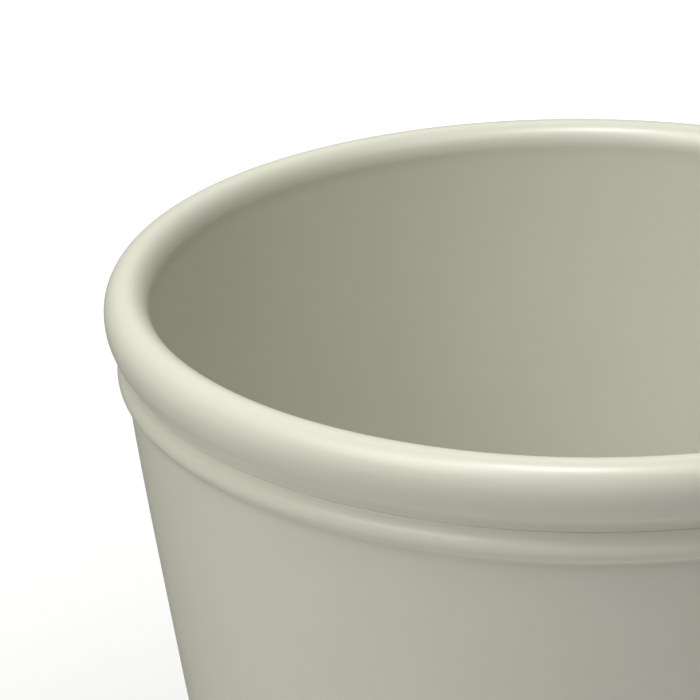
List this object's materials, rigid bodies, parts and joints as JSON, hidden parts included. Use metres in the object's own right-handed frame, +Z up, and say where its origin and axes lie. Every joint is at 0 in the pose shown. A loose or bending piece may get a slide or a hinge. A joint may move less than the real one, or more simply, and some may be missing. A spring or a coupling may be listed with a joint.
{
  "type": "self watering planter",
  "caption": "Round tapered self-watering planter: a rolled-rim planting pot hangs in an outer pot that holds water, with wick cups, fill tube, float gauge and wall plugs.",
  "frame": {"origin": "on the pot's axis, on the ground that the rubber feet stand on", "axes": "+Z up along the axis; +X towards the fill tube and the water gauge; +Y towards the back wall with the overflow and drain plugs"},
  "size_m": [0.28, 0.28, 0.25],
  "materials": {
    "pot": "smooth satin, pale sage",
    "plug": "satin, pale sage",
    "insert": "fine matt grain, grey",
    "rubber": "matt",
    "felt": "needled felt",
    "clear": "clear polished",
    "foam": "closed-cell foam",
    "white": "smooth",
    "marker": "smooth, red",
    "steel": "bright"
  },
  "bodies": {
    "outer_body": {"outer_pot": "pot", "rubber_foot_1": "rubber", "rubber_foot_2": "rubber", "rubber_foot_3": "rubber", "rubber_foot_4": "rubber"},
    "planting_body": {"inner_pot": "pot", "spacer_pad_1": "rubber", "spacer_pad_2": "rubber", "spacer_pad_3": "rubber", "soil_mat": "felt", "fill_tube": "insert", "fill_tube_seal": "rubber", "fill_strainer": "insert", "cap_hinge_pin": "steel", "gauge_tube": "insert", "gauge_seal": "rubber", "gauge_window": "clear", "tube_clip": "insert", "rod_guide": "white", "float_cage": "insert"},
    "wick_cup_1_body": {"wick_cup_1": "insert"},
    "wick_cup_2_body": {"wick_cup_2": "insert"},
    "wick_cup_3_body": {"wick_cup_3": "insert"},
    "fill_cap_body": {"fill_cap": "plug"},
    "float_body": {"float": "foam", "float_rod": "white", "float_clip": "steel", "level_marker": "marker"},
    "overflow_plug_body": {"overflow_plug": "plug", "overflow_seal": "rubber"},
    "drain_plug_body": {"drain_plug": "plug", "drain_seal": "rubber"}
  },
  "joints": [
    {"name": "planting_pot_lift", "type": "slide", "parent": "outer_body", "child": "planting_body", "axis": [0, 0, 1], "range_m": [0, 0.245]},
    {"name": "wick_cup_1_lift", "type": "slide", "parent": "planting_body", "child": "wick_cup_1_body", "axis": [0, 0, 1], "range_m": [0, 0.08]},
    {"name": "wick_cup_2_lift", "type": "slide", "parent": "planting_body", "child": "wick_cup_2_body", "axis": [0, 0, 1], "range_m": [0, 0.08]},
    {"name": "wick_cup_3_lift", "type": "slide", "parent": "planting_body", "child": "wick_cup_3_body", "axis": [0, 0, 1], "range_m": [0, 0.08]},
    {"name": "fill_cap_hinge", "type": "hinge", "parent": "planting_body", "child": "fill_cap_body", "pos_m": [0.095, -0.02, 0.236], "axis": [0, 1, 0], "range_deg": [0, 105]},
    {"name": "float_rise", "type": "slide", "parent": "planting_body", "child": "float_body", "axis": [0, 0, 1], "range_m": [0, 0.032]},
    {"name": "overflow_plug_pull", "type": "slide", "parent": "outer_body", "child": "overflow_plug_body", "axis": [0, 1, 0], "range_m": [0, 0.02]},
    {"name": "drain_plug_pull", "type": "slide", "parent": "outer_body", "child": "drain_plug_body", "axis": [0, 1, 0], "range_m": [0, 0.02]}
  ]
}
